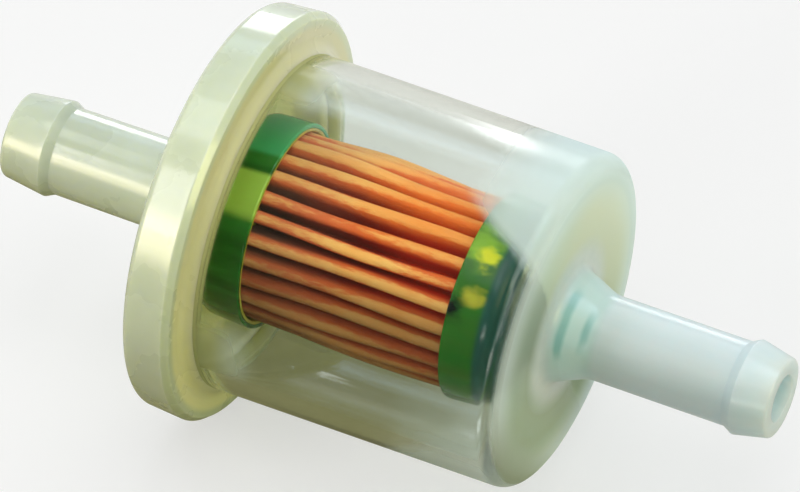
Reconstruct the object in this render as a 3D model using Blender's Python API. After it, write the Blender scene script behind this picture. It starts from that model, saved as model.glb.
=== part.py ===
"""In-line fuel filter for a small engine.

A milky inlet cap is welded to a clear bowl, and a pleated paper cartridge sits between them. Fuel
comes in through the cap's barb, spreads round the cartridge, passes inwards through the paper, and
leaves through the bowl's spigot and barb.

Metres, +Z up. The flow axis is X with the outlet towards +X. The origin is on that axis, half way
between the two barb tips.
"""

import math

import bmesh
import bpy
from mathutils import Matrix, Vector

MM = 0.001

# Whole filter
TIP = 34.2 * MM  # from the origin to either barb's tip
BORE_R = 2.0 * MM
TURN_STEPS = 48  # flats round a turned surface
FILLET_STEPS = 3  # flats along a fillet
SMALL_FILLET = 0.4 * MM  # a fillet up to this size is one flat, a chamfer
GAP = 0.3 * MM  # clearance between neighbouring pieces
THIN_GAP = 0.2 * MM  # the same between the glued pieces of the cartridge

# Inlet cap
FLANGE_R = 17.5 * MM
FLANGE_BACK = -16.2 * MM
SHOULDER = -12.0 * MM  # the flange's face on the bowl's side
FLANGE_EDGE = 0.6 * MM
INLET_NECK_R = 3.7 * MM
INLET_ROOT_R = 3.8 * MM
INLET_BARB_R = 4.1 * MM
INLET_TIP_R = 3.6 * MM
WELD_GROOVE = 1.6 * MM  # depth below the shoulder
TONGUE_WALL = 0.7 * MM  # between the weld groove and the pocket
POCKET_FLOOR = -15.0 * MM
RIBS = 4
RIB_WIDTH = 1.0 * MM
RIB_INNER_R = 3.0 * MM
RIB_OUTER_R = 8.0 * MM

# Bowl
BOWL_R = 14.28 * MM
BOWL_DRAFT = 0.1 * MM  # how much narrower it is at its end face
BOWL_WALL = 1.4 * MM
BOWL_END = 15.3 * MM
END_WALL = 0.9 * MM
OUTLET_ROOT_R = 4.9 * MM
OUTLET_ROOT_LENGTH = 3.1 * MM
OUTLET_NECK_R = 3.58 * MM
OUTLET_BARB_R = 4.0 * MM
OUTLET_TIP_R = 3.35 * MM
SPIGOT_R = 3.0 * MM
SPIGOT_SEAT_R = 4.4 * MM
SPIGOT_END = 10.0 * MM

# Both barbs
INLET_BARB_TAPER = 3.75 * MM  # from the tip to the widest place
OUTLET_BARB_TAPER = 2.95 * MM
BARB_STEP = 0.8 * MM  # from the widest place back to the neck

# Cartridge
CUP_R = 8.75 * MM
CUP_DEPTH = 4.4 * MM
CUP_WALL = 0.4 * MM
CUP_FLOOR = 0.6 * MM
CUP_EDGE = 1.4 * MM
CUP_INSIDE_EDGE = 0.9 * MM
CUP_DRAFT = 0.1 * MM
OUTLET_CUP_HOLE_R = SPIGOT_R + GAP
INLET_CUP_LIP = -9.7 * MM
OUTLET_CUP_LIP = 8.1 * MM
ADHESIVE_DEPTH = 1.2 * MM
OUTLET_ADHESIVE_HOLE_R = 3.6 * MM

PLEATS = 26
CREST_R = 8.15 * MM
VALLEY_R = 4.6 * MM
PAPER = 0.35 * MM
CREST_FOLD_R = 0.42 * MM  # at mid thickness
VALLEY_FOLD_R = 0.25 * MM
FOLD_STEPS = 3

SEAM_R = 4.1 * MM  # from the axis to the bead's middle
SEAM_HALF_WIDTH = 0.6 * MM
SEAM_HALF_DEPTH = 0.3 * MM
SEAM_ANGLE = math.radians(110)
SEAM_STEPS = 12


def clear_scene():
    for obj in list(bpy.data.objects):
        bpy.data.objects.remove(obj, do_unlink=True)


def material(name, colour, roughness, metallic=0.0, transmission=0.0, alpha=1.0):
    mat = bpy.data.materials.new(name)
    mat.use_nodes = True
    shader = mat.node_tree.nodes["Principled BSDF"]
    shader.inputs["Base Color"].default_value = (*colour, 1.0)
    shader.inputs["Roughness"].default_value = roughness
    shader.inputs["Metallic"].default_value = metallic
    shader.inputs["Transmission Weight"].default_value = transmission
    shader.inputs["Alpha"].default_value = alpha
    mat.diffuse_color = (*colour, alpha)
    return mat


def add_object(name, bm, mat, smooth_below=40):
    """A named object from a bmesh, with its normals facing out and its round faces shaded smooth."""
    bmesh.ops.recalc_face_normals(bm, faces=bm.faces)
    mesh = bpy.data.meshes.new(name)
    bm.to_mesh(mesh)
    bm.free()
    mesh.shade_smooth()
    mesh.set_sharp_from_angle(angle=math.radians(smooth_below))
    obj = bpy.data.objects.new(name, mesh)
    if mat:
        mesh.materials.append(mat)
    bpy.context.scene.collection.objects.link(obj)
    return obj


def rounded(corners):
    """The (x, r) points of an outline whose corners are (x, r, fillet radius)."""
    points = []
    for i, (x, r, fillet) in enumerate(corners):
        here = Vector((x, r))
        if fillet == 0:
            points.append(here)
            continue
        before = Vector(corners[i - 1][:2]) - here
        after = Vector(corners[(i + 1) % len(corners)][:2]) - here
        half = before.angle(after) / 2
        reach = fillet / math.tan(half)
        centre = here + (before.normalized() + after.normalized()).normalized() * fillet / math.sin(half)
        start = here + before.normalized() * reach - centre
        end = here + after.normalized() * reach - centre
        turn = start.angle_signed(end)
        steps = FILLET_STEPS if fillet > SMALL_FILLET else 1
        for step in range(steps + 1):
            points.append(centre + Matrix.Rotation(-turn * step / steps, 2) @ start)
    return points


def turned(name, corners, mat, closed=True):
    """A solid turned round the X axis. An outline that isn't closed starts and ends on the axis."""
    bm = bmesh.new()
    verts = [bm.verts.new((x, r, 0)) for x, r in rounded(corners)]
    pairs = list(zip(verts, verts[1:]))
    if closed:
        pairs.append((verts[-1], verts[0]))
    edges = [bm.edges.new(pair) for pair in pairs]
    bmesh.ops.spin(
        bm, geom=verts + edges, cent=(0, 0, 0), axis=(1, 0, 0),
        angle=math.tau, steps=TURN_STEPS, use_merge=True,
    )
    bmesh.ops.remove_doubles(bm, verts=bm.verts, dist=1e-6)
    return add_object(name, bm, mat)


def add_stand_off_ribs(cap):
    """Low radial ribs on the pocket's floor, which hold the cartridge off the inlet."""
    height = INLET_CUP_LIP - CUP_DEPTH - GAP - POCKET_FLOOR
    root = 0.3 * MM  # how far a rib's helper runs into the floor
    bm = bmesh.new()
    for i in range(RIBS):
        size = Matrix.Diagonal((height + root, RIB_OUTER_R - RIB_INNER_R, RIB_WIDTH, 1))
        place = Matrix.Translation(
            (POCKET_FLOOR + (height - root) / 2, (RIB_INNER_R + RIB_OUTER_R) / 2, 0)
        )
        turn = Matrix.Rotation(math.tau * (i + 0.5) / RIBS, 4, "X")
        bmesh.ops.create_cube(bm, size=1, matrix=turn @ place @ size)
    ribs = add_object("cap_rib_helper", bm, None)
    ribs.hide_render = True
    ribs.display_type = "WIRE"
    join = cap.modifiers.new("stand_off_ribs", "BOOLEAN")
    join.operation = "UNION"
    join.solver = "EXACT"
    join.object = ribs


def make_inlet_cap():
    groove_outer = BOWL_R + GAP
    groove_inner = BOWL_R - BOWL_WALL - GAP
    pocket_r = groove_inner - TONGUE_WALL
    widest = -TIP + INLET_BARB_TAPER
    cap = turned(
        "inlet_cap",
        [
            (-TIP, BORE_R, 0),
            (-TIP, INLET_TIP_R, 0.25 * MM),
            (widest, INLET_BARB_R, 0.15 * MM),
            (widest + BARB_STEP, INLET_NECK_R, 0.1 * MM),
            (FLANGE_BACK, INLET_ROOT_R, 0.6 * MM),
            (FLANGE_BACK, FLANGE_R, FLANGE_EDGE),
            (SHOULDER, FLANGE_R, FLANGE_EDGE),
            (SHOULDER, groove_outer, 0),
            (SHOULDER - WELD_GROOVE, groove_outer, 0),
            (SHOULDER - WELD_GROOVE, groove_inner, 0),
            (SHOULDER, groove_inner, 0.2 * MM),
            (SHOULDER, pocket_r, 0.2 * MM),
            (POCKET_FLOOR, pocket_r, 0.4 * MM),
            (POCKET_FLOOR, BORE_R, 0),
        ],
        material("milky_nylon", (0.78, 0.80, 0.66), 0.32, transmission=0.15),
    )
    add_stand_off_ribs(cap)


def make_bowl():
    rim = SHOULDER - WELD_GROOVE + GAP
    inner_r = BOWL_R - BOWL_WALL
    inner_end = BOWL_END - END_WALL
    seat = OUTLET_CUP_LIP + CUP_DEPTH + GAP
    widest = TIP - OUTLET_BARB_TAPER
    turned(
        "bowl",
        [
            (rim, inner_r, 0),
            (rim, BOWL_R, 0),
            (BOWL_END, BOWL_R - BOWL_DRAFT, 1.4 * MM),
            (BOWL_END, OUTLET_ROOT_R, 0.8 * MM),
            (BOWL_END + OUTLET_ROOT_LENGTH, OUTLET_NECK_R, 3.0 * MM),
            (widest - BARB_STEP, OUTLET_NECK_R, 0.1 * MM),
            (widest, OUTLET_BARB_R, 0.15 * MM),
            (TIP, OUTLET_TIP_R, 0.2 * MM),
            (TIP, BORE_R, 0),
            (SPIGOT_END, BORE_R, 0),
            (SPIGOT_END, SPIGOT_R, 0.2 * MM),
            (seat, SPIGOT_R, 0),
            (seat, SPIGOT_SEAT_R, 0.2 * MM),
            (inner_end, SPIGOT_SEAT_R, 0.2 * MM),
            (inner_end, inner_r - BOWL_DRAFT, 0.3 * MM),
        ],
        material("clear_nylon", (0.86, 0.92, 0.90), 0.08, transmission=0.9, alpha=0.4),
    )


def make_end_cups():
    green = material("green_moulding", (0.04, 0.22, 0.08), 0.18)
    inside_r = CUP_R - CUP_WALL
    back = INLET_CUP_LIP - CUP_DEPTH
    turned(
        "inlet_end_cup",
        [
            (back, 0, 0),
            (back, CUP_R, CUP_EDGE),
            (INLET_CUP_LIP, CUP_R, 0.1 * MM),
            (INLET_CUP_LIP, inside_r, 0.1 * MM),
            (back + CUP_FLOOR, inside_r - CUP_DRAFT, CUP_INSIDE_EDGE),
            (back + CUP_FLOOR, 0, 0),
        ],
        green,
        closed=False,
    )
    face = OUTLET_CUP_LIP + CUP_DEPTH
    turned(
        "outlet_end_cup",
        [
            (face, OUTLET_CUP_HOLE_R, 0),
            (face, CUP_R, CUP_EDGE),
            (OUTLET_CUP_LIP, CUP_R, 0.1 * MM),
            (OUTLET_CUP_LIP, inside_r, 0.1 * MM),
            (face - CUP_FLOOR, inside_r - CUP_DRAFT, CUP_INSIDE_EDGE),
            (face - CUP_FLOOR, OUTLET_CUP_HOLE_R, 0),
        ],
        green,
    )


def adhesive_ends():
    """Where the inlet's bed and the outlet's ring of adhesive end, on the paper's side."""
    inlet = INLET_CUP_LIP - CUP_DEPTH + CUP_FLOOR + THIN_GAP + ADHESIVE_DEPTH
    outlet = OUTLET_CUP_LIP + CUP_DEPTH - CUP_FLOOR - THIN_GAP - ADHESIVE_DEPTH
    return inlet, outlet


def make_adhesive():
    amber = material("amber_adhesive", (0.55, 0.48, 0.10), 0.3)
    outer_r = CUP_R - CUP_WALL - CUP_DRAFT - THIN_GAP
    inlet, outlet = adhesive_ends()
    turned(
        "inlet_adhesive",
        [
            (inlet - ADHESIVE_DEPTH, 0, 0),
            (inlet - ADHESIVE_DEPTH, outer_r, CUP_INSIDE_EDGE - THIN_GAP),
            (inlet, outer_r, 0.2 * MM),
            (inlet, 0, 0),
        ],
        amber,
        closed=False,
    )
    turned(
        "outlet_adhesive",
        [
            (outlet, OUTLET_ADHESIVE_HOLE_R, 0.2 * MM),
            (outlet, outer_r, 0.2 * MM),
            (outlet + ADHESIVE_DEPTH, outer_r, CUP_INSIDE_EDGE - THIN_GAP),
            (outlet + ADHESIVE_DEPTH, OUTLET_ADHESIVE_HOLE_R, 0.2 * MM),
        ],
        amber,
    )


def pleat_angle(i):
    """Where crest i stands round the axis, from +Y towards +Z."""
    return (i + 0.5) * math.tau / PLEATS


def fold_arc(angle, centre_r, radius, inwards):
    """(point, normal) along one fold's half circle at mid thickness, in the (y, z) plane."""
    centre = Vector((math.cos(angle), math.sin(angle))) * centre_r
    for step in range(FOLD_STEPS + 1):
        sweep = math.pi * (step / FOLD_STEPS - 0.5)
        turn = angle + (math.pi - sweep if inwards else sweep)
        outward = Vector((math.cos(turn), math.sin(turn)))
        yield centre + outward * radius, -outward if inwards else outward


def make_pleated_paper():
    """One folded sheet closed to a ring: its two faces lie half a thickness each side of the middle."""
    middle = []
    for i in range(PLEATS):
        crest = pleat_angle(i)
        valley = (crest + pleat_angle(i + 1)) / 2
        middle += fold_arc(crest, CREST_R - PAPER / 2 - CREST_FOLD_R, CREST_FOLD_R, inwards=False)
        middle += fold_arc(valley, VALLEY_R + PAPER / 2 + VALLEY_FOLD_R, VALLEY_FOLD_R, inwards=True)
    inlet, outlet = adhesive_ends()
    start = inlet + THIN_GAP
    bm = bmesh.new()
    outside = [bm.verts.new((start, *(point + normal * PAPER / 2))) for point, normal in middle]
    inside = [bm.verts.new((start, *(point - normal * PAPER / 2))) for point, normal in middle]
    for i in range(len(middle)):
        bm.faces.new((outside[i - 1], outside[i], inside[i], inside[i - 1]))
    extruded = bmesh.ops.extrude_face_region(bm, geom=list(bm.faces), use_keep_orig=True)
    far_end = [item for item in extruded["geom"] if isinstance(item, bmesh.types.BMVert)]
    bmesh.ops.translate(bm, verts=far_end, vec=(outlet - THIN_GAP - start, 0, 0))
    add_object("pleated_paper", bm, material("filter_paper", (0.72, 0.28, 0.07), 0.85))


def make_seam_bead():
    """The bead of adhesive along the inner folds where the strip's two ends meet."""
    inlet, outlet = adhesive_ends()
    start = inlet + GAP
    bm = bmesh.new()
    disc = bmesh.ops.create_circle(bm, cap_ends=True, segments=SEAM_STEPS, radius=1)
    place = (
        Matrix.Rotation(SEAM_ANGLE, 4, "X")
        @ Matrix.Translation((start, SEAM_R, 0))
        @ Matrix.Diagonal((1, SEAM_HALF_DEPTH, SEAM_HALF_WIDTH, 1))
        @ Matrix.Rotation(math.pi / 2, 4, "Y")
    )
    bmesh.ops.transform(bm, matrix=place, verts=disc["verts"])
    extruded = bmesh.ops.extrude_face_region(bm, geom=list(bm.faces), use_keep_orig=True)
    far_end = [item for item in extruded["geom"] if isinstance(item, bmesh.types.BMVert)]
    bmesh.ops.translate(bm, verts=far_end, vec=(outlet - GAP - start, 0, 0))
    add_object("seam_bead", bm, material("seam_adhesive", (0.70, 0.55, 0.25), 0.4))


clear_scene()
make_inlet_cap()
make_bowl()
make_end_cups()
make_adhesive()
make_pleated_paper()
make_seam_bead()
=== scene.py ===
"""Looks of the in-line fuel filter: fine turned plastic, folded paper, materials, light and camera.

Metres, in the frame of the CAD model: the flow axis is X with the outlet towards +X, and +Z is up.
Angles round the axis are degrees from +Y towards +Z.
"""

import math

import bmesh
import bpy
from mathutils import Matrix, Vector, noise


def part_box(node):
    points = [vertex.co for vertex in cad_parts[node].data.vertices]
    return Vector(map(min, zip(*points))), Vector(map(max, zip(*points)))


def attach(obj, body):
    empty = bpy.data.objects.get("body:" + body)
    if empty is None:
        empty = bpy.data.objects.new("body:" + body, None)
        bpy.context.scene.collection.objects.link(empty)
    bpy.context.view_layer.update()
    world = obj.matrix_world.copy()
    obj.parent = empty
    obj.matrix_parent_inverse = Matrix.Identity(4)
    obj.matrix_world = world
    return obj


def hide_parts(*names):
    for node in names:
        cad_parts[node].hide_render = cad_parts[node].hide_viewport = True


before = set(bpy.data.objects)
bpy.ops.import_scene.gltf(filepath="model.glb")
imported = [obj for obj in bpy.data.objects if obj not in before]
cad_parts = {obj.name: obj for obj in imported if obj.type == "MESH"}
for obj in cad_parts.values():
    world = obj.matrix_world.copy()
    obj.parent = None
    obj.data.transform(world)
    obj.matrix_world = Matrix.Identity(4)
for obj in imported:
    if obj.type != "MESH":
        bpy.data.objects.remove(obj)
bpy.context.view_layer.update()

MM = 0.001

# Places taken from the CAD nodes
BOWL_LOW, BOWL_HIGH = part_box("bowl")
INLET_CUP_LOW, INLET_CUP_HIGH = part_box("inlet_end_cup")
OUTLET_CUP_LOW, OUTLET_CUP_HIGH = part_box("outlet_end_cup")
SEAM_LOW, SEAM_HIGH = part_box("seam_bead")

TIP = BOWL_HIGH.x
FLANGE_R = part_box("inlet_cap")[1].z
BOWL_R = BOWL_HIGH.z
CUP_R = INLET_CUP_HIGH.z
CREST_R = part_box("pleated_paper")[1].z

# Shared plastic dimensions
BORE_R = 2.0 * MM
BARB_STEP = 0.8 * MM

# Inlet cap
FLANGE_BACK = -16.2 * MM
SHOULDER = -12.0 * MM
RIM_CREST = -12.55 * MM
RIM_CROWN = 0.28 * MM
INLET_NECK_R = 3.7 * MM
INLET_ROOT_R = 3.8 * MM
INLET_BARB_R = 4.1 * MM
INLET_TIP_R = 3.6 * MM
INLET_BARB_TAPER = 3.75 * MM
POCKET_FLOOR = -15.0 * MM
TONGUE_WALL = 0.7 * MM
WELD_GROOVE = 1.3 * MM
WELD_FLASH = 0.8 * MM

# Bowl
BOWL_WALL = 1.4 * MM
BOWL_DRAFT = 0.1 * MM
BOWL_END = 15.3 * MM
END_WALL = 0.9 * MM
OUTLET_ROOT_R = 4.9 * MM
OUTLET_ROOT_LENGTH = 3.1 * MM
OUTLET_NECK_R = 3.58 * MM
OUTLET_BARB_R = 4.0 * MM
OUTLET_TIP_R = 3.35 * MM
OUTLET_BARB_TAPER = 2.95 * MM
SPIGOT_R = 3.0 * MM
SPIGOT_SEAT_R = 4.4 * MM
SPIGOT_END = 10.0 * MM
ROOT_BARS = (16.5 * MM, 18.2 * MM)  # where two darker bars cross the root of the barb

# Sides of the filter as the photo shows it, as angles round the axis, from its top edge down
TOP_EDGE = 50
HIGH = 60
UPPER = 83
SUNNY_SIDE = 85
FRONT = 131.3  # faces the camera
LOW_FRONT = 143
LOW = 195
BOTTOM_EDGE = 215

# Cartridge
CUP_WALL = 0.4 * MM
CUP_FLOOR = 0.6 * MM
CUP_DRAFT = 0.22 * MM
CUP_EDGE = 1.4 * MM
PLEATS = 26
VALLEY_R = 4.6 * MM
PAPER = 0.35 * MM  # thickness
PAPER_SUNK = 1.2 * MM  # how deep its ends stand in the cups
CREST_FOLD_R = 0.33 * MM
VALLEY_FOLD_R = 0.25 * MM
BEAD_HALF_HEIGHT = 0.26 * MM
BEAD_HALF_WIDTH = 0.52 * MM

# Painted light and shade on the thin outlet cup, bright glints and one dark patch: (x, angle round the
# axis), reach, colour
OUTLET_CUP_PAINTED_LIGHT = (
    ((9.3 * MM, 106), 2.1 * MM, (140, 184, 48)),
    ((10.1 * MM, 113), 1.0 * MM, (228, 226, 30)),
    ((9.7 * MM, 134), 1.0 * MM, (186, 180, 60)),
    ((8.4 * MM, 143), 1.3 * MM, (4, 20, 20)),
)

# Mesh fineness
TURN_STEPS = 192
FILLET_STEPS = 8
CREST_STEPS = 10
VALLEY_STEPS = 6
PAPER_STATIONS = 56
BEAD_STATIONS = 48
BEAD_SIDES = 20

# Stage and lamps
FLOOR_REACH = 4.0
LAMP_DISTANCE = 0.5
CARD = (0.3, 0.3)

# Camera
AZIMUTH = math.radians(25.82)
ELEVATION = math.radians(45.67)
DISTANCE = 836 * MM
LENS = 466  # mm
SENSOR = 36  # mm
AIM_RIGHT = 0.336 * MM
AIM_UP = 1.518 * MM

# What the cards are let onto, by light linking
filter_pieces = bpy.data.collections.new("filter_pieces")
cap_only = bpy.data.collections.new("cap_only")
bowl_only = bpy.data.collections.new("bowl_only")
paper_only = bpy.data.collections.new("paper_only")


# ---------------------------------------------------------------- mesh helpers


def rounded(corners):
    """The (x, r) points of an outline whose corners are (x, r, fillet radius)."""
    points = []
    for i, (x, r, fillet) in enumerate(corners):
        here = Vector((x, r))
        if fillet == 0:
            points.append(here)
            continue
        before = Vector(corners[i - 1][:2]) - here
        after = Vector(corners[(i + 1) % len(corners)][:2]) - here
        half = before.angle(after) / 2
        reach = fillet / math.tan(half)
        centre = here + (before.normalized() + after.normalized()).normalized() * fillet / math.sin(half)
        start = here + before.normalized() * reach - centre
        end = here + after.normalized() * reach - centre
        turn = start.angle_signed(end)
        for step in range(FILLET_STEPS + 1):
            points.append(centre + Matrix.Rotation(-turn * step / FILLET_STEPS, 2) @ start)
    return points


def finish_mesh(name, bm, material, node, smooth_below=35):
    """A named piece from a bmesh: shaded smooth, riding on the root, standing for a CAD node."""
    bmesh.ops.recalc_face_normals(bm, faces=bm.faces)
    mesh = bpy.data.meshes.new(name)
    bm.to_mesh(mesh)
    bm.free()
    mesh.shade_smooth()
    mesh.set_sharp_from_angle(angle=math.radians(smooth_below))
    mesh.materials.append(material)
    piece = bpy.data.objects.new(name, mesh)
    bpy.context.scene.collection.objects.link(piece)
    filter_pieces.objects.link(piece)
    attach(piece, "root")
    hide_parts(node)
    return piece


def keep_flats_flat(piece):
    """Weights normals by face area, so that a flat face isn't shaded round by its fillets."""
    weighted = piece.modifiers.new("weighted_normals", "WEIGHTED_NORMAL")
    weighted.keep_sharp = True


def turned(corners, closed=True):
    """A bmesh turned round the X axis. An outline that isn't closed starts and ends on the axis."""
    bm = bmesh.new()
    verts = [bm.verts.new((x, r, 0)) for x, r in rounded(corners)]
    pairs = list(zip(verts, verts[1:]))
    if closed:
        pairs.append((verts[-1], verts[0]))
    edges = [bm.edges.new(pair) for pair in pairs]
    bmesh.ops.spin(
        bm,
        geom=verts + edges,
        cent=(0, 0, 0),
        axis=(1, 0, 0),
        angle=math.tau,
        steps=TURN_STEPS,
        use_merge=True,
    )
    bmesh.ops.remove_doubles(bm, verts=bm.verts, dist=1e-7)
    return bm


# ---------------------------------------------------------------- node helpers


class Nodes:
    """Short forms for building a node tree. A value can be a plain one or another node's socket."""

    def __init__(self, tree):
        self.tree = tree

    def set(self, socket, value):
        if isinstance(value, bpy.types.NodeSocket):
            self.tree.links.new(value, socket)
        else:
            socket.default_value = value

    def add(self, kind, inputs=None, **settings):
        node = self.tree.nodes.new("ShaderNode" + kind)
        for key, value in settings.items():
            setattr(node, key, value)
        for socket, value in (inputs or {}).items():
            self.set(node.inputs[socket], value)
        return node

    def place(self):
        """The point being shaded, in metres in the filter's frame."""
        return self.add("TexCoord").outputs["Object"]

    def split(self, vector):
        return self.add("SeparateXYZ", {"Vector": vector}).outputs

    def dot(self, first, second):
        return self.add("VectorMath", {0: first, 1: second}, operation="DOT_PRODUCT").outputs["Value"]

    def along(self, place):
        """How far along the flow axis."""
        return self.split(place)["X"]

    def off_axis(self, place):
        """The distance from the flow axis."""
        across = self.add("VectorMath", {0: place, 1: (0, 1, 1)}, operation="MULTIPLY")
        return self.add("VectorMath", {0: across.outputs[0]}, operation="LENGTH").outputs["Value"]

    def towards(self, place, degrees):
        """How far from the axis in the direction that stands so many degrees round it."""
        angle = math.radians(degrees)
        return self.dot(place, (0, math.cos(angle), math.sin(angle)))

    def noise(self, vector, scale, detail=3.0, roughness=0.5):
        found = self.add(
            "TexNoise",
            {"Vector": vector, "Scale": scale, "Detail": detail, "Roughness": roughness},
        )
        return found.outputs["Fac"]

    def stretched(self, vector, scale):
        return self.add("Mapping", {"Vector": vector, "Scale": scale}).outputs["Vector"]

    def range(self, value, low, high, to_low=0.0, to_high=1.0, kind="SMOOTHSTEP"):
        """Maps low..high to to_low..to_high, and keeps the end values beyond."""
        found = self.add(
            "MapRange",
            {"Value": value, "From Min": low, "From Max": high, "To Min": to_low, "To Max": to_high},
            interpolation_type=kind,
        )
        return found.outputs["Result"]

    def maths(self, operation, first, second=0.0):
        return self.add("Math", {0: first, 1: second}, operation=operation).outputs[0]

    def plus(self, first, second):
        return self.maths("ADD", first, second)

    def minus(self, first, second):
        return self.maths("SUBTRACT", first, second)

    def times(self, first, second):
        return self.maths("MULTIPLY", first, second)

    def most(self, *values):
        """The largest of the values."""
        found = values[0]
        for value in values[1:]:
            found = self.maths("MAXIMUM", found, value)
        return found

    def gap(self, value, centre):
        """How far a value is from the centre, on either side."""
        return self.maths("ABSOLUTE", self.minus(value, centre))

    def mix_colour(self, factor, first, second):
        return self.add("Mix", {0: factor, 6: first, 7: second}, data_type="RGBA").outputs[2]

    def bump(self, height, distance):
        found = self.add("Bump", {"Height": height, "Distance": distance, "Strength": 1.0})
        return found.outputs["Normal"]

    def diffuse(self, colour):
        return self.add("BsdfDiffuse", {"Color": colour}).outputs[0]

    def translucent(self, colour):
        return self.add("BsdfTranslucent", {"Color": colour}).outputs[0]

    def emission(self, colour, strength):
        return self.add("Emission", {"Color": colour, "Strength": strength}).outputs[0]

    def principled(self, settings):
        return self.add("BsdfPrincipled", settings).outputs[0]

    def mix_shader(self, factor, first, second):
        return self.add("MixShader", {0: factor, 1: first, 2: second}).outputs[0]


class Material(Nodes):
    """The node tree of a new material."""

    def __init__(self, name):
        self.material = bpy.data.materials.new(name)
        self.material.use_nodes = True
        self.material.node_tree.nodes.clear()
        super().__init__(self.material.node_tree)

    def output(self, shader):
        self.add("OutputMaterial", {"Surface": shader})
        return self.material


def rgb(red, green, blue):
    """A linear colour from 8-bit sRGB values."""
    values = [channel / 255 for channel in (red, green, blue)]
    linear = [v / 12.92 if v <= 0.04045 else ((v + 0.055) / 1.055) ** 2.4 for v in values]
    return (*linear, 1.0)


# ---------------------------------------------------------------- materials


def milky_plastic():
    """Natural nylon: cloudy and faintly green-yellow, with light soaking a few millimetres in."""
    n = Material("milky_plastic")
    place = n.place()
    cloud = n.noise(place, 160, detail=4)
    colour = n.mix_colour(n.range(cloud, 0.2, 0.8), rgb(199, 211, 194), rgb(208, 220, 206))
    # Painted light: the shoulder and the pocket are painted yellower and lighter, and brighter low down
    inner = n.times(
        n.range(n.off_axis(place), FLANGE_R - 0.7 * MM, FLANGE_R - 1.5 * MM),
        n.range(n.along(place), FLANGE_BACK + 0.3 * MM, FLANGE_BACK + 0.9 * MM),
    )
    height = n.range(n.towards(place, UPPER), -14 * MM, 14 * MM)
    colour = n.mix_colour(inner, colour, n.mix_colour(height, rgb(252, 252, 208), rgb(214, 214, 180)))
    skin = n.noise(place, 2600, detail=2)
    swell = n.noise(place, 330, detail=1)
    relief = n.plus(n.times(skin, 0.12), swell)
    shader = n.principled(
        {
            "Base Color": colour,
            "Roughness": n.range(cloud, 0.3, 0.7, 0.24, 0.34),
            "IOR": 1.53,
            "Subsurface Weight": 1.0,
            "Subsurface Radius": (1.0, 0.95, 0.65),
            "Subsurface Scale": 1.3 * MM,
            "Coat Weight": 0.8,
            "Coat Roughness": 0.07,
            "Normal": n.bump(relief, 0.04 * MM),
        }
    )
    return n.output(shader)


def painted_corner_reflection(n, place):
    """How much painted reflection of the cartridge's dark end is laid into the bowl's corner in front of
    it.
    """
    facing = n.maths("DIVIDE", n.towards(place, LOW_FRONT), n.off_axis(place))
    along = n.along(place)
    within = n.times(
        n.range(along, BOWL_END - 1.2 * MM, BOWL_END - 0.8 * MM),
        n.range(along, BOWL_END - 0.3 * MM, BOWL_END - 0.55 * MM),
    )
    return n.times(within, n.range(facing, 0.9, 0.94, 0.0, 0.62))


def cloudiness(n, place, swirl, corner):
    """How cloudy the bowl's wall is where it is seen straight on."""
    along = n.along(place)
    wandering = n.plus(along, n.times(swirl, 1.5 * MM))
    # The end is cloudy, and more so round its edge
    edge = n.range(n.off_axis(place), BOWL_R - 6.0 * MM, BOWL_R - 1.2 * MM, 0.22, 0.4)
    end_cloud = n.times(n.range(along, BOWL_END - 0.5 * MM, BOWL_END - 0.1 * MM), edge)
    # Cloud with a slanting edge reaches in from the end, along the top and thinly low down
    drift = n.times(swirl, 3 * MM)
    top_slant = n.plus(n.dot(place, (1, 1.65, 0.6)), drift)
    top_cloud = n.times(
        n.range(top_slant, 10.6 * MM, 13.2 * MM, 0.0, 0.5),
        n.range(wandering, 6.5 * MM, 12.0 * MM),
    )
    low_slant = n.plus(n.dot(place, (1, 0.065, -0.742)), drift)
    low_cloud = n.range(low_slant, 9.8 * MM, 12.6 * MM, 0.0, 0.1)
    # Cloud spreads from the weld, except where the cartridge is close behind the wall
    front = n.towards(place, FRONT)
    facing = n.maths("DIVIDE", front, n.off_axis(place))
    beside_front = n.times(n.range(facing, 0.79, 0.68), n.range(facing, 0.36, 0.5))
    spread = n.times(n.range(wandering, -5.5 * MM, -10.4 * MM, 0.0, 0.4), beside_front)
    weld_edge = n.range(along, SHOULDER + 1.25 * MM, SHOULDER + 0.95 * MM)
    weld_edge = n.times(weld_edge, n.range(front, -2 * MM, 2 * MM, 0.15, 1.0))
    # A painted reflection: a pale streak of cloud runs along the top
    off_streak = n.gap(n.towards(place, UPPER + 90), n.times(swirl, 2 * MM))
    on_top = n.range(n.towards(place, UPPER), 10 * MM, 12 * MM)
    painted_top_reflection = n.times(n.range(off_streak, 1.2 * MM, 0.1 * MM, 0.0, 0.16), on_top)
    everywhere = 0.004
    return n.most(end_cloud, top_cloud, low_cloud, spread, weld_edge, painted_top_reflection, corner, everywhere)


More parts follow.
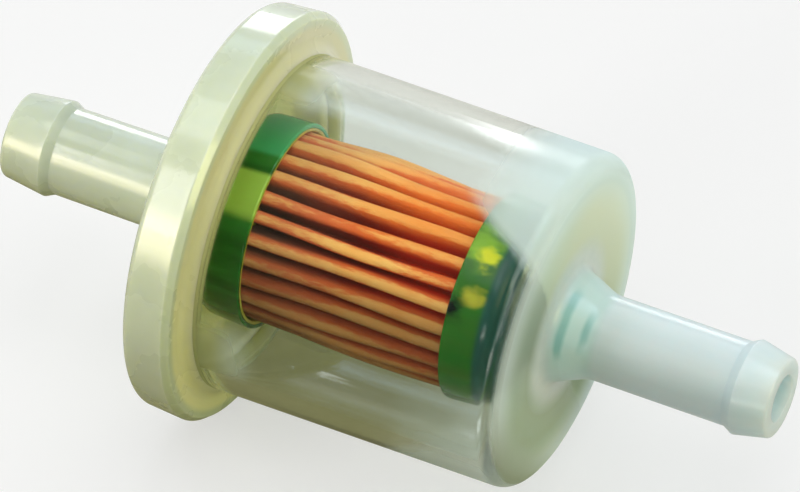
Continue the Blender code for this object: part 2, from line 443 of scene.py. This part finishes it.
def cloud_tint(n, place, corner):
    """The colour of the bowl's cloud: white, yellow at the weld, with painted light and shade on the end
    and a painted reflection in its corner.
    """
    along = n.along(place)
    off_axis = n.off_axis(place)
    colour = n.mix_colour(n.range(along, -7 * MM, -10 * MM), rgb(236, 248, 252), rgb(204, 206, 154))
    # Painted light on the end face: lighter high up, paler on the near side, and painted shade in a ring
    # at the inner corner
    painted_top_light = n.range(n.towards(place, TOP_EDGE), -12 * MM, 12 * MM)
    face_colour = n.mix_colour(painted_top_light, rgb(162, 184, 142), rgb(244, 246, 230))
    painted_near_side_light = n.range(n.towards(place, FRONT), 3 * MM, 12 * MM, 0.0, 0.5)
    face_colour = n.mix_colour(painted_near_side_light, face_colour, rgb(214, 240, 242))
    painted_corner_ring_shade = n.range(n.gap(off_axis, BOWL_R - BOWL_WALL - 0.5 * MM), 0.7 * MM, 0.0, 0.0, 0.25)
    face_colour = n.mix_colour(painted_corner_ring_shade, face_colour, rgb(92, 138, 124))
    face = n.times(
        n.range(along, BOWL_END - 0.1 * MM, BOWL_END),
        n.range(off_axis, BOWL_R - 0.9 * MM, BOWL_R - 5.0 * MM),
    )
    colour = n.mix_colour(face, colour, face_colour)
    # Painted shade: olive low on the end
    painted_low_end_shade = n.times(
        n.range(n.towards(place, BOTTOM_EDGE), 8.0 * MM, 13.5 * MM, 0.0, 0.8),
        n.range(along, BOWL_END - 1.5 * MM, BOWL_END - 0.3 * MM),
    )
    colour = n.mix_colour(painted_low_end_shade, colour, rgb(138, 146, 98))
    # Painted reflection: the cartridge's dark end painted into the corner
    return n.mix_colour(n.range(corner, 0.0, 0.4), colour, rgb(54, 82, 78))


def frosted_nylon(n, place, swirl, normal):
    """The barb's milky skin, with a teal glow and two darker bars at its root."""
    along = n.along(place)
    streaks = n.noise(n.stretched(place, (60, 700, 700)), 1.0)
    pale = n.mix_colour(streaks, rgb(206, 224, 238), rgb(224, 238, 249))
    root = n.times(
        n.range(along, BOWL_END + 4.1 * MM, BOWL_END + 3.1 * MM),
        n.range(along, BOWL_END - 0.1 * MM, BOWL_END + 0.9 * MM),
    )
    pale = n.mix_colour(n.times(root, 0.35), pale, rgb(170, 220, 212))
    wandering = n.plus(along, n.times(swirl, 1.5 * MM))
    at_front = n.range(n.towards(place, FRONT), 3.0 * MM, 4.0 * MM)
    for bar in ROOT_BARS:
        mark = n.times(n.range(n.gap(wandering, bar), 0.5 * MM, 0.1 * MM), at_front)
        pale = n.mix_colour(n.times(mark, 0.6), pale, rgb(96, 178, 182))
    skin = n.principled(
        {
            "Base Color": pale,
            "Roughness": 0.3,
            "IOR": 1.5,
            "Subsurface Weight": 1.0,
            "Subsurface Radius": (0.8, 1.0, 1.0),
            "Subsurface Scale": 3.5 * MM,
            "Coat Weight": 0.3,
            "Coat Roughness": 0.12,
            "Normal": normal,
        }
    )
    return n.mix_shader(0.15, skin, n.translucent(pale))


def clear_plastic():
    """Nylon that is clear along the paper, cloudier at the outlet end, and frosted on the barb."""
    n = Material("clear_plastic")
    place = n.place()
    along = n.along(place)
    off_axis = n.off_axis(place)
    swirl = n.minus(n.noise(n.stretched(place, (60, 200, 200)), 1.0, detail=2), 0.5)
    normal = n.bump(n.noise(n.stretched(place, (50, 170, 170)), 1.0, detail=1), 0.06 * MM)
    corner = painted_corner_reflection(n, place)
    cloudy = cloudiness(n, place, swirl, corner)
    # The more slanting the view, the more cloud there is in the way
    geometry = n.add("NewGeometry").outputs
    straight = n.most(n.maths("ABSOLUTE", n.dot(geometry["Normal"], geometry["Incoming"])), 0.3)
    haze = n.minus(1.0, n.maths("POWER", n.minus(1.0, cloudy), n.maths("DIVIDE", 1.0, straight)))
    end_roughness = n.range(along, BOWL_END - 1.5 * MM, BOWL_END - 0.4 * MM, 0.02, 0.25)
    top_roughness = n.range(n.towards(place, HIGH), 12.9 * MM, 13.7 * MM, 0.02, 0.09)
    glass = n.principled(
        {
            "Base Color": rgb(246, 250, 249),
            "Roughness": n.most(end_roughness, top_roughness),
            "IOR": 1.5,
            "Transmission Weight": 1.0,
            "Normal": normal,
        }
    )
    tint = cloud_tint(n, place, corner)
    cloud = n.mix_shader(0.5, n.diffuse(tint), n.translucent(tint))
    on_barb = n.range(along, BOWL_END - 0.2 * MM, BOWL_END + 1.4 * MM, 0.0, 0.9)
    by_root = n.times(
        n.range(along, BOWL_END - 0.1 * MM, BOWL_END),
        n.range(off_axis, OUTLET_ROOT_R + 3.2 * MM, OUTLET_ROOT_R + 0.6 * MM, 0.0, 0.85),
    )
    frosted = n.most(on_barb, by_root)
    body = n.mix_shader(haze, glass, cloud)
    body = n.mix_shader(frosted, body, frosted_nylon(n, place, swirl, normal))
    # Lamps shine straight through where it is clear
    open_to_lamps = n.add("BsdfTransparent", {"Color": rgb(240, 246, 236)}).outputs[0]
    lamp_ray = n.add("LightPath").outputs["Is Shadow Ray"]
    clear_share = n.times(n.minus(1.0, frosted), n.minus(1.0, cloudy))
    return n.output(n.mix_shader(n.times(lamp_ray, clear_share), body, open_to_lamps))


def green_plastic():
    """Glossy moulded green, with painted light and shade: darker on the inlet cup, a painted sky
    reflection and a pale painted stripe round it, painted glints and a shadow patch on the outlet cup,
    and its end painted dark.
    """
    n = Material("green_plastic")
    place = n.place()
    along = n.along(place)
    streaks = n.noise(n.stretched(place, (70, 600, 600)), 1.0, detail=3)
    # Painted shade: the inlet cup, in the flange's shadow, is painted darker green than the outlet cup
    dark = n.mix_colour(n.range(along, 0.0, 1 * MM), rgb(8, 78, 12), rgb(60, 110, 38))
    colour = n.mix_colour(n.range(streaks, 0.3, 0.7), dark, rgb(36, 112, 38))
    # Round the inlet cup: a painted teal reflection of the sky high up, and a pale painted stripe of
    # light at the front
    split = n.split(place)
    around = n.maths("ARCTAN2", split["Z"], split["Y"])
    around = n.plus(around, n.times(n.minus(streaks, 0.5), math.radians(10)))
    on_inlet_cup = n.range(along, 1 * MM, 0.0)
    painted_sky_reflection = n.times(
        n.range(around, math.radians(100), math.radians(94)),
        n.range(around, 0.0, math.radians(20)),
    )
    colour = n.mix_colour(n.times(on_inlet_cup, painted_sky_reflection), colour, rgb(60, 158, 104))
    painted_light_stripe = n.times(
        n.range(around, math.radians(106), math.radians(110)),
        n.range(around, math.radians(138), math.radians(130)),
    )
    colour = n.mix_colour(n.times(on_inlet_cup, painted_light_stripe), colour, rgb(150, 186, 78))
    # Painted glints and a painted shadow patch on the outlet cup
    rag = 1.5 * MM
    ragged = n.times(n.noise(n.stretched(place, (500, 900, 900)), 1.0, detail=3), 2 * rag)
    for (x, degrees), reach, tint in OUTLET_CUP_PAINTED_LIGHT:
        turn = math.radians(degrees)
        spot = (x, CUP_R * math.cos(turn), CUP_R * math.sin(turn))
        away = n.add("VectorMath", {0: place, 1: spot}, operation="DISTANCE").outputs["Value"]
        seen = n.range(n.plus(away, ragged), reach * 1.25 + rag, reach * 0.1 + rag)
        colour = n.mix_colour(seen, colour, rgb(*tint))
    # Painted shade: the outlet cup's end is painted dark teal
    outlet_end = n.range(along, 10.7 * MM, 11.3 * MM)
    colour = n.mix_colour(outlet_end, colour, rgb(38, 86, 80))
    scuffs = n.noise(n.stretched(place, (400, 6000, 6000)), 1.0, detail=2)
    shader = n.principled(
        {
            "Base Color": colour,
            "Roughness": n.range(scuffs, 0.3, 0.8, 0.10, 0.24),
            "IOR": 1.5,
            "Subsurface Weight": 0.2,
            "Subsurface Radius": (0.3, 1.0, 0.4),
            "Subsurface Scale": 0.5 * MM,
            "Normal": n.bump(n.noise(place, 900, detail=2), 0.02 * MM),
        }
    )
    return n.output(shader)


def filter_paper():
    """Resin-soaked orange paper: fibres along and across, painted lighter on the crests and painted
    shade, darker red, deep in the folds.
    """
    n = Material("filter_paper")
    place = n.place()
    along = n.along(place)
    fibres = n.noise(n.stretched(place, (900, 3600, 3600)), 1.0, detail=5, roughness=0.7)
    blotches = n.noise(place, 420, detail=3)
    drifts = n.noise(n.stretched(place, (70, 420, 420)), 1.0, detail=1)
    frayed = n.plus(n.off_axis(place), n.times(n.minus(fibres, 0.5), 0.7 * MM))
    frayed = n.plus(frayed, n.times(n.minus(drifts, 0.5), 0.6 * MM))
    # Painted light and shade by depth in the folds: light crests, darker flanks, shaded valleys, darker
    # towards the inlet
    crest = n.mix_colour(blotches, rgb(255, 172, 84), rgb(255, 214, 134))
    flank = n.mix_colour(blotches, rgb(218, 90, 38), rgb(244, 126, 64))
    valley = n.mix_colour(n.range(along, -3 * MM, 5 * MM), rgb(128, 14, 2), rgb(204, 46, 8))
    # Painted shade of the flange: the valleys near the inlet cup are painted dark purple
    valley = n.mix_colour(n.range(along, -5.0 * MM, -8.6 * MM), valley, rgb(44, 20, 36))
    colour = n.mix_colour(n.range(frayed, CREST_R - 0.35 * MM, CREST_R - 0.06 * MM), flank, crest)
    colour = n.mix_colour(n.range(frayed, CREST_R - 1.4 * MM, CREST_R - 0.35 * MM), valley, colour)
    # Greyer at the inlet end, with painted light high up towards the outlet and painted shade, browner,
    # low down
    colour = n.mix_colour(n.range(along, 0.0, -7 * MM, 0.0, 0.3), colour, rgb(168, 124, 104))
    painted_light_on_top = n.times(
        n.range(n.towards(place, SUNNY_SIDE), 5.5 * MM, 7.8 * MM),
        n.range(along, -5 * MM, 3 * MM, 0.0, 0.6),
    )
    colour = n.mix_colour(painted_light_on_top, colour, rgb(255, 140, 52))
    low = n.range(n.towards(place, LOW), 3.5 * MM, 7.5 * MM, 0.0, 0.7)
    colour = n.mix_colour(low, colour, rgb(76, 26, 6))
    normal = n.bump(n.plus(fibres, n.times(blotches, 0.6)), 0.14 * MM)
    sheet = n.principled(
        {"Base Color": colour, "Roughness": 0.72, "Specular IOR Level": 0.3, "Normal": normal}
    )
    through = n.add("BsdfTranslucent", {"Color": rgb(255, 60, 8), "Normal": normal}).outputs[0]
    return n.output(n.mix_shader(0.2, sheet, through))


def amber_adhesive():
    """Cured yellow-green adhesive, glossy and see-through at its thin edges."""
    n = Material("amber_adhesive")
    cloud = n.noise(n.place(), 500, detail=3)
    shader = n.principled(
        {
            "Base Color": n.mix_colour(cloud, rgb(150, 140, 40), rgb(214, 198, 90)),
            "Roughness": 0.2,
            "IOR": 1.5,
            "Subsurface Weight": 0.6,
            "Subsurface Radius": (1.0, 0.9, 0.3),
            "Subsurface Scale": 0.8 * MM,
            "Normal": n.bump(cloud, 0.05 * MM),
        }
    )
    return n.output(shader)


# ---------------------------------------------------------------- pieces


def make_inlet_cap(material):
    groove_outer = BOWL_R - 0.03 * MM
    groove_inner = BOWL_R - BOWL_WALL + 0.02 * MM
    pocket_r = groove_inner - TONGUE_WALL
    widest = -TIP + INLET_BARB_TAPER
    bm = turned(
        [
            (-TIP, BORE_R, 0.15 * MM),
            (-TIP, INLET_TIP_R, 0.3 * MM),
            (widest, INLET_BARB_R, 0.18 * MM),
            (widest + BARB_STEP, INLET_NECK_R, 0.15 * MM),
            (FLANGE_BACK, INLET_ROOT_R, 0.6 * MM),
            (FLANGE_BACK, FLANGE_R - RIM_CROWN, 0.7 * MM),
            (RIM_CREST, FLANGE_R, 0.25 * MM),
            (SHOULDER - 0.3 * MM, FLANGE_R - 0.22 * MM, 0.12 * MM),
            (SHOULDER, FLANGE_R - 0.45 * MM, 0.2 * MM),
            (SHOULDER, groove_outer + WELD_FLASH, 1.2 * MM),
            (SHOULDER + WELD_FLASH, groove_outer, 0.02 * MM),
            (SHOULDER - WELD_GROOVE, groove_outer, 0.1 * MM),
            (SHOULDER - WELD_GROOVE, groove_inner, 0.1 * MM),
            (SHOULDER, groove_inner, 0.2 * MM),
            (SHOULDER, pocket_r, 0.6 * MM),
            (POCKET_FLOOR, pocket_r, 0.5 * MM),
            (POCKET_FLOOR, BORE_R, 0.15 * MM),
        ]
    )
    piece = finish_mesh("inlet_cap_moulding", bm, material, "inlet_cap")
    keep_flats_flat(piece)
    cap_only.objects.link(piece)


def make_bowl(material):
    inner_r = BOWL_R - BOWL_WALL
    inner_end = BOWL_END - END_WALL
    seat = OUTLET_CUP_HIGH.x + 0.05 * MM
    widest = TIP - OUTLET_BARB_TAPER
    bm = turned(
        [
            (BOWL_LOW.x, inner_r, 0.05 * MM),
            (BOWL_LOW.x, BOWL_R, 0.05 * MM),
            (BOWL_END, BOWL_R - BOWL_DRAFT, 1.4 * MM),
            (BOWL_END, OUTLET_ROOT_R, 0.8 * MM),
            (BOWL_END + OUTLET_ROOT_LENGTH, OUTLET_NECK_R, 3.0 * MM),
            (widest - BARB_STEP, OUTLET_NECK_R, 0.15 * MM),
            (widest, OUTLET_BARB_R, 0.15 * MM),
            (TIP, OUTLET_TIP_R, 0.25 * MM),
            (TIP, BORE_R, 0.1 * MM),
            (SPIGOT_END, BORE_R, 0.1 * MM),
            (SPIGOT_END, SPIGOT_R, 0.25 * MM),
            (seat, SPIGOT_R, 0.1 * MM),
            (seat, SPIGOT_SEAT_R, 0.3 * MM),
            (inner_end, SPIGOT_SEAT_R, 0.3 * MM),
            (inner_end, inner_r - BOWL_DRAFT, 0.3 * MM),
        ]
    )
    piece = finish_mesh("bowl_moulding", bm, material, "bowl")
    keep_flats_flat(piece)
    bowl_only.objects.link(piece)


def make_end_cups(material):
    inside_r = CUP_R - CUP_WALL
    back = INLET_CUP_LOW.x
    lip = INLET_CUP_HIGH.x
    bm = turned(
        [
            (back, 0, 0),
            (back, CUP_R - CUP_DRAFT, CUP_EDGE),
            (lip, CUP_R, 0.15 * MM),
            (lip, inside_r, 0.12 * MM),
            (back + CUP_FLOOR, inside_r - CUP_DRAFT, CUP_EDGE - CUP_WALL),
            (back + CUP_FLOOR, 0, 0),
        ],
        closed=False,
    )
    inlet = finish_mesh("inlet_end_cup_moulding", bm, material, "inlet_end_cup")
    keep_flats_flat(inlet)
    face = OUTLET_CUP_HIGH.x
    lip = OUTLET_CUP_LOW.x
    hole_r = SPIGOT_R + 0.1 * MM
    bm = turned(
        [
            (face, hole_r, 0.2 * MM),
            (face, CUP_R - CUP_DRAFT, CUP_EDGE),
            (lip, CUP_R, 0.15 * MM),
            (lip, inside_r, 0.12 * MM),
            (face - CUP_FLOOR, inside_r - CUP_DRAFT, CUP_EDGE - CUP_WALL),
            (face - CUP_FLOOR, hole_r, 0),
        ]
    )
    outlet = finish_mesh("outlet_end_cup_moulding", bm, material, "outlet_end_cup")
    keep_flats_flat(outlet)


def make_adhesive(material):
    """Each cup is filled to just under its lip, and the adhesive creeps up the wall."""
    wall_r = CUP_R - CUP_WALL + 0.02 * MM
    level = 0.9 * MM  # below the lip
    creep = 0.03 * MM
    ring_r = wall_r - 0.26 * MM
    back = INLET_CUP_LOW.x + CUP_FLOOR - 0.02 * MM
    lip = INLET_CUP_HIGH.x
    bm = turned(
        [
            (back, 0, 0),
            (back, wall_r - CUP_DRAFT, CUP_EDGE - CUP_WALL),
            (lip - creep, wall_r, 0.03 * MM),
            (lip - creep, ring_r, 0.1 * MM),
            (lip - level, ring_r - 0.3 * MM, 0.3 * MM),
            (lip - level, 0, 0),
        ],
        closed=False,
    )
    finish_mesh("inlet_adhesive_bed", bm, material, "inlet_adhesive")
    face = OUTLET_CUP_HIGH.x - CUP_FLOOR + 0.02 * MM
    lip = OUTLET_CUP_LOW.x
    hole_r = SPIGOT_R + 0.6 * MM
    bm = turned(
        [
            (face, hole_r, 0.2 * MM),
            (face, wall_r - CUP_DRAFT, CUP_EDGE - CUP_WALL),
            (lip + creep, wall_r, 0.03 * MM),
            (lip + creep, ring_r, 0.1 * MM),
            (lip + level, ring_r - 0.3 * MM, 0.3 * MM),
            (lip + level, hole_r, 0.2 * MM),
        ]
    )
    finish_mesh("outlet_adhesive_ring", bm, material, "outlet_adhesive")


def pleat_angle(i):
    """Where crest i stands round the axis, in radians."""
    return (i + 0.5) * math.tau / PLEATS


def fold_arc(angle, centre_r, radius, inwards, steps):
    """(point, normal) along one fold's half circle at mid thickness, in the (y, z) plane."""
    centre = Vector((math.cos(angle), math.sin(angle))) * centre_r
    for step in range(steps + 1):
        sweep = math.pi * (step / steps - 0.5)
        turn = angle + (math.pi - sweep if inwards else sweep)
        outward = Vector((math.cos(turn), math.sin(turn)))
        yield centre + outward * radius, -outward if inwards else outward


def paper_section(share):
    """The paper's (point, normal) pairs, at a share of its length. The folds wander between the cups."""
    middle = math.sin(math.pi * share)  # 0 at the ends, where the cups hold the folds almost still
    sway = math.radians(3.0) * (0.4 + 0.6 * middle)
    swell = 0.5 * MM * (0.25 + 0.75 * middle)
    bulge = 0.12 * MM * middle
    section = []
    crests = []
    for i in range(PLEATS + 1):
        k = i % PLEATS
        crests.append(pleat_angle(i) + noise.noise(Vector((k * 3.7, share * 1.3, 0.0))) * sway)
    for i in range(PLEATS):
        valley = (crests[i] + crests[i + 1]) / 2
        crest_r = CREST_R - 0.1 * MM + noise.noise(Vector((i * 5.1, share * 1.6, 4.0))) * swell + bulge
        fold_r = CREST_FOLD_R * (1 + 0.25 * noise.noise(Vector((i * 2.3, share * 2.5, 9.0))))
        section += fold_arc(crests[i], crest_r - PAPER / 2 - fold_r, fold_r, False, CREST_STEPS)
        valley_r = VALLEY_R + PAPER / 2 + VALLEY_FOLD_R
        section += fold_arc(valley, valley_r, VALLEY_FOLD_R, True, VALLEY_STEPS)
    return section


def make_paper(material):
    """The folded sheet, as rings of points joined along the axis."""
    start = INLET_CUP_HIGH.x - PAPER_SUNK
    end = OUTLET_CUP_LOW.x + PAPER_SUNK
    bm = bmesh.new()
    rings = []
    for station in range(PAPER_STATIONS + 1):
        share = station / PAPER_STATIONS
        x = start + (end - start) * share
        section = paper_section(share)
        outside = [bm.verts.new((x, *(point + normal * PAPER / 2))) for point, normal in section]
        inside = [bm.verts.new((x, *(point - normal * PAPER / 2))) for point, normal in section]
        rings.append((outside, inside))
    count = len(rings[0][0])
    for (outside, inside), (next_outside, next_inside) in zip(rings, rings[1:]):
        for i in range(count):
            bm.faces.new((outside[i - 1], outside[i], next_outside[i], next_outside[i - 1]))
            bm.faces.new((inside[i], inside[i - 1], next_inside[i - 1], next_inside[i]))
    for outside, inside in (rings[0], rings[-1]):
        for i in range(count):
            bm.faces.new((outside[i - 1], outside[i], inside[i], inside[i - 1]))
    piece = finish_mesh("pleated_paper_sheet", bm, material, "pleated_paper", 60)
    paper_only.objects.link(piece)


def make_seam_bead(material):
    """A hot-melt bead, laid by hand along the inner folds, so its width wanders."""
    centre = (SEAM_LOW + SEAM_HIGH) / 2
    angle = math.atan2(centre.z, centre.y)
    radial = Vector((0, math.cos(angle), math.sin(angle)))
    across = Vector((0, -math.sin(angle), math.cos(angle)))
    spine = radial * Vector((centre.y, centre.z)).length
    bm = bmesh.new()
    rings = []
    for station in range(BEAD_STATIONS + 1):
        share = station / BEAD_STATIONS
        x = SEAM_LOW.x + (SEAM_HIGH.x - SEAM_LOW.x) * share
        taper = math.sqrt(max(0.0, 1 - abs(2 * share - 1) ** 12)) * 0.96 + 0.04
        thick = taper * (1 + 0.15 * noise.noise(Vector((share * 9, 0, 3))))
        ring = []
        for side in range(BEAD_SIDES):
            turn = math.tau * side / BEAD_SIDES
            point = Vector((x, 0, 0)) + spine
            point += radial * math.cos(turn) * BEAD_HALF_HEIGHT * thick
            point += across * math.sin(turn) * BEAD_HALF_WIDTH * thick
            ring.append(bm.verts.new(point))
        rings.append(ring)
    for ring, following in zip(rings, rings[1:]):
        for i in range(BEAD_SIDES):
            bm.faces.new((ring[i - 1], ring[i], following[i], following[i - 1]))
    bm.faces.new(rings[0])
    bm.faces.new(rings[-1])
    finish_mesh("seam_bead_run", bm, material, "seam_bead", 60)


# ---------------------------------------------------------------- stage, light and camera


def toward(x, degrees):
    """A unit direction with the given X part, whose other part stands so many degrees round the axis."""
    across = math.sqrt(1 - x**2)
    angle = math.radians(degrees)
    return Vector((x, across * math.cos(angle), across * math.sin(angle)))


def area_light(name, direction, size, radiance, colour, soft=0.15, tilt=0.0, only=None):
    """A rectangular lamp facing the filter, not seen by the camera, that fades out towards its edges.

    size is (along X, round X), soft is the faded share of the lamp, tilt turns it in its plane, and
    only is the collection of the pieces it lights, where it doesn't light everything.
    """
    data = bpy.data.lights.new(name, "AREA")
    data.shape = "RECTANGLE"
    data.size, data.size_y = size
    data.energy = radiance * math.pi * size[0] * size[1]
    data.use_nodes = True
    n = Nodes(data.node_tree)
    place = n.split(n.add("NewGeometry").outputs["Parametric"])
    fades = [n.range(n.gap(place[axis], 0.5), 0.5, 0.5 - soft) for axis in ("X", "Y")]
    emission = n.tree.nodes["Emission"].inputs
    n.set(emission["Color"], colour)
    n.set(emission["Strength"], n.times(*fades))
    lamp = bpy.data.objects.new(name, data)
    lamp.location = direction * LAMP_DISTANCE
    across = (Vector((1, 0, 0)) - direction * direction.x).normalized()
    around = direction.cross(across)
    turn = Matrix((across, around, direction)).transposed() @ Matrix.Rotation(tilt, 3, "Z")
    lamp.rotation_euler = turn.to_euler()
    lamp.visible_camera = False
    if only:
        lamp.light_linking.receiver_collection = only
    bpy.context.scene.collection.objects.link(lamp)


def make_lights():
    """Windows and a ceiling for everything, and cards that light only the filter or parts of it."""
    # Windows that the crowned rim mirrors at its front and its top
    area_light("pane_front", toward(-0.49, 139), (0.13, 0.32), 4.6, rgb(255, 252, 252), soft=0.12)
    area_light("pane_high", toward(-0.49, 90), (0.13, 0.22), 2.3, rgb(246, 250, 255), soft=0.12)
    area_light("ceiling", toward(0.10, 95), (0.36, 0.60), 1.8, rgb(254, 252, 254))
    # Windows that the bowl's top mirrors
    day = rgb(250, 252, 255)
    area_light("pane_back_near", toward(-0.402, 7), (0.078, 0.22), 4.8, day, soft=0.05, tilt=0.025)
    area_light("pane_back_far", toward(-0.186, -4), (0.106, 0.38), 4.4, day, soft=0.05, tilt=-0.02)
    area_light("pane_sky", toward(-0.34, 35), (0.36, 0.14), 1.4, rgb(200, 226, 255), soft=0.3)
    area_light("pane_outlet", toward(-0.225, 52), (0.075, 0.40), 1.5, rgb(234, 242, 255), soft=0.3)
    # Cards that would stain the floor or veil the clear wall if they lit everything
    yellow = rgb(255, 241, 204)
    sky_blue = rgb(206, 224, 255)
    pale = rgb(244, 246, 236)
    warm = rgb(255, 236, 214)
    area_light("low_card", toward(-0.55, 161), (0.5, 0.3), 7.2, yellow, soft=0.4, only=cap_only)
    area_light("sky_card", toward(0.4, 74), CARD, 3.6, sky_blue, soft=0.3, only=bowl_only)
    area_light("low_side_card", toward(0.22, 170), (0.3, 0.2), 4.0, pale, soft=0.4, only=bowl_only)
    area_light("warm_card", toward(0.3, 120), CARD, 12.5, warm, soft=0.3, only=paper_only)
    front_right = Vector((0.80, -0.25, 0.55)).normalized()
    area_light("olive_card", front_right, CARD, 6.0, rgb(240, 234, 166), only=filter_pieces)


def make_world():
    """Pale light from behind, above and the inlet side, and a dim olive glow from the other sides."""
    world = bpy.data.worlds.new("studio")
    world.use_nodes = True
    bpy.context.scene.world = world
    n = Nodes(world.node_tree)
    direction = n.add("TexCoord").outputs["Generated"]
    pale = n.range(n.dot(direction, (-0.3, 0.85, 0.4)), -0.8, 0.8)
    # A dark flag where the clear front would mirror the sky over the paper
    split = n.split(direction)
    beside = n.range(n.gap(split["X"], -0.3), 0.12, 0.25, kind="LINEAR")
    behind = n.range(split["Y"], 0.15, 0.5, kind="LINEAR")
    sky = n.times(n.most(beside, behind), pale)
    background = n.tree.nodes["Background"].inputs
    n.set(background["Color"], n.mix_colour(sky, rgb(60, 58, 36), rgb(236, 238, 234)))
    n.set(background["Strength"], 0.6)


def floor_paper():
    """Plain and pale for the camera, but with painted shadow where the plastic mirrors it or shows it.
    """
    n = Material("pale_floor")
    plain = n.mix_shader(0.5, n.diffuse(rgb(250, 250, 249)), n.emission(rgb(255, 255, 255), 1.1))
    # Through the plastic it shows painted shadow: pale behind the filter, olive under it and dark in
    # front
    split = n.split(n.place())
    painted_shadow_beneath = n.times(
        n.range(split["Y"], 28 * MM, 8 * MM),
        n.range(split["X"], 26 * MM, -2 * MM, 0.1, 1.0),
    )
    colour = n.mix_colour(painted_shadow_beneath, rgb(236, 236, 226), rgb(136, 134, 92))
    painted_shadow_in_front = n.range(split["Y"], -16 * MM, -30 * MM)
    colour = n.mix_colour(painted_shadow_in_front, colour, rgb(70, 72, 48))
    # Mostly glowing in these colours, so the painted shadow stays even under the lamps
    seen_through = n.mix_shader(0.7, n.diffuse(colour), n.emission(colour, 0.98))
    direct = n.add("LightPath").outputs["Is Camera Ray"]
    return n.output(n.mix_shader(direct, seen_through, plain))


def make_floor():
    bm = bmesh.new()
    bmesh.ops.create_grid(bm, x_segments=1, y_segments=1, size=FLOOR_REACH)
    bmesh.ops.translate(bm, verts=bm.verts, vec=(0, 0, -FLANGE_R))
    mesh = bpy.data.meshes.new("floor")
    bm.to_mesh(mesh)
    bm.free()
    mesh.materials.append(floor_paper())
    floor = bpy.data.objects.new("floor", mesh)
    bpy.context.scene.collection.objects.link(floor)


def make_camera():
    back = Vector(
        (
            math.sin(AZIMUTH) * math.cos(ELEVATION),
            -math.cos(AZIMUTH) * math.cos(ELEVATION),
            math.sin(ELEVATION),
        )
    )
    turn = back.to_track_quat("Z", "Y")
    aim = turn @ Vector((AIM_RIGHT, AIM_UP, 0))
    data = bpy.data.cameras.new("camera")
    data.lens = LENS
    data.sensor_width = SENSOR
    data.clip_start = 0.05
    data.clip_end = 10
    camera = bpy.data.objects.new("camera", data)
    camera.location = aim + back * DISTANCE
    camera.rotation_mode = "QUATERNION"
    camera.rotation_quaternion = turn
    bpy.context.scene.collection.objects.link(camera)
    bpy.context.scene.camera = camera


make_inlet_cap(milky_plastic())
make_bowl(clear_plastic())
make_end_cups(green_plastic())
adhesive = amber_adhesive()
make_adhesive(adhesive)
make_paper(filter_paper())
make_seam_bead(adhesive)
make_lights()
make_world()
make_floor()
make_camera()
bpy.context.scene.view_settings.view_transform = "Standard"
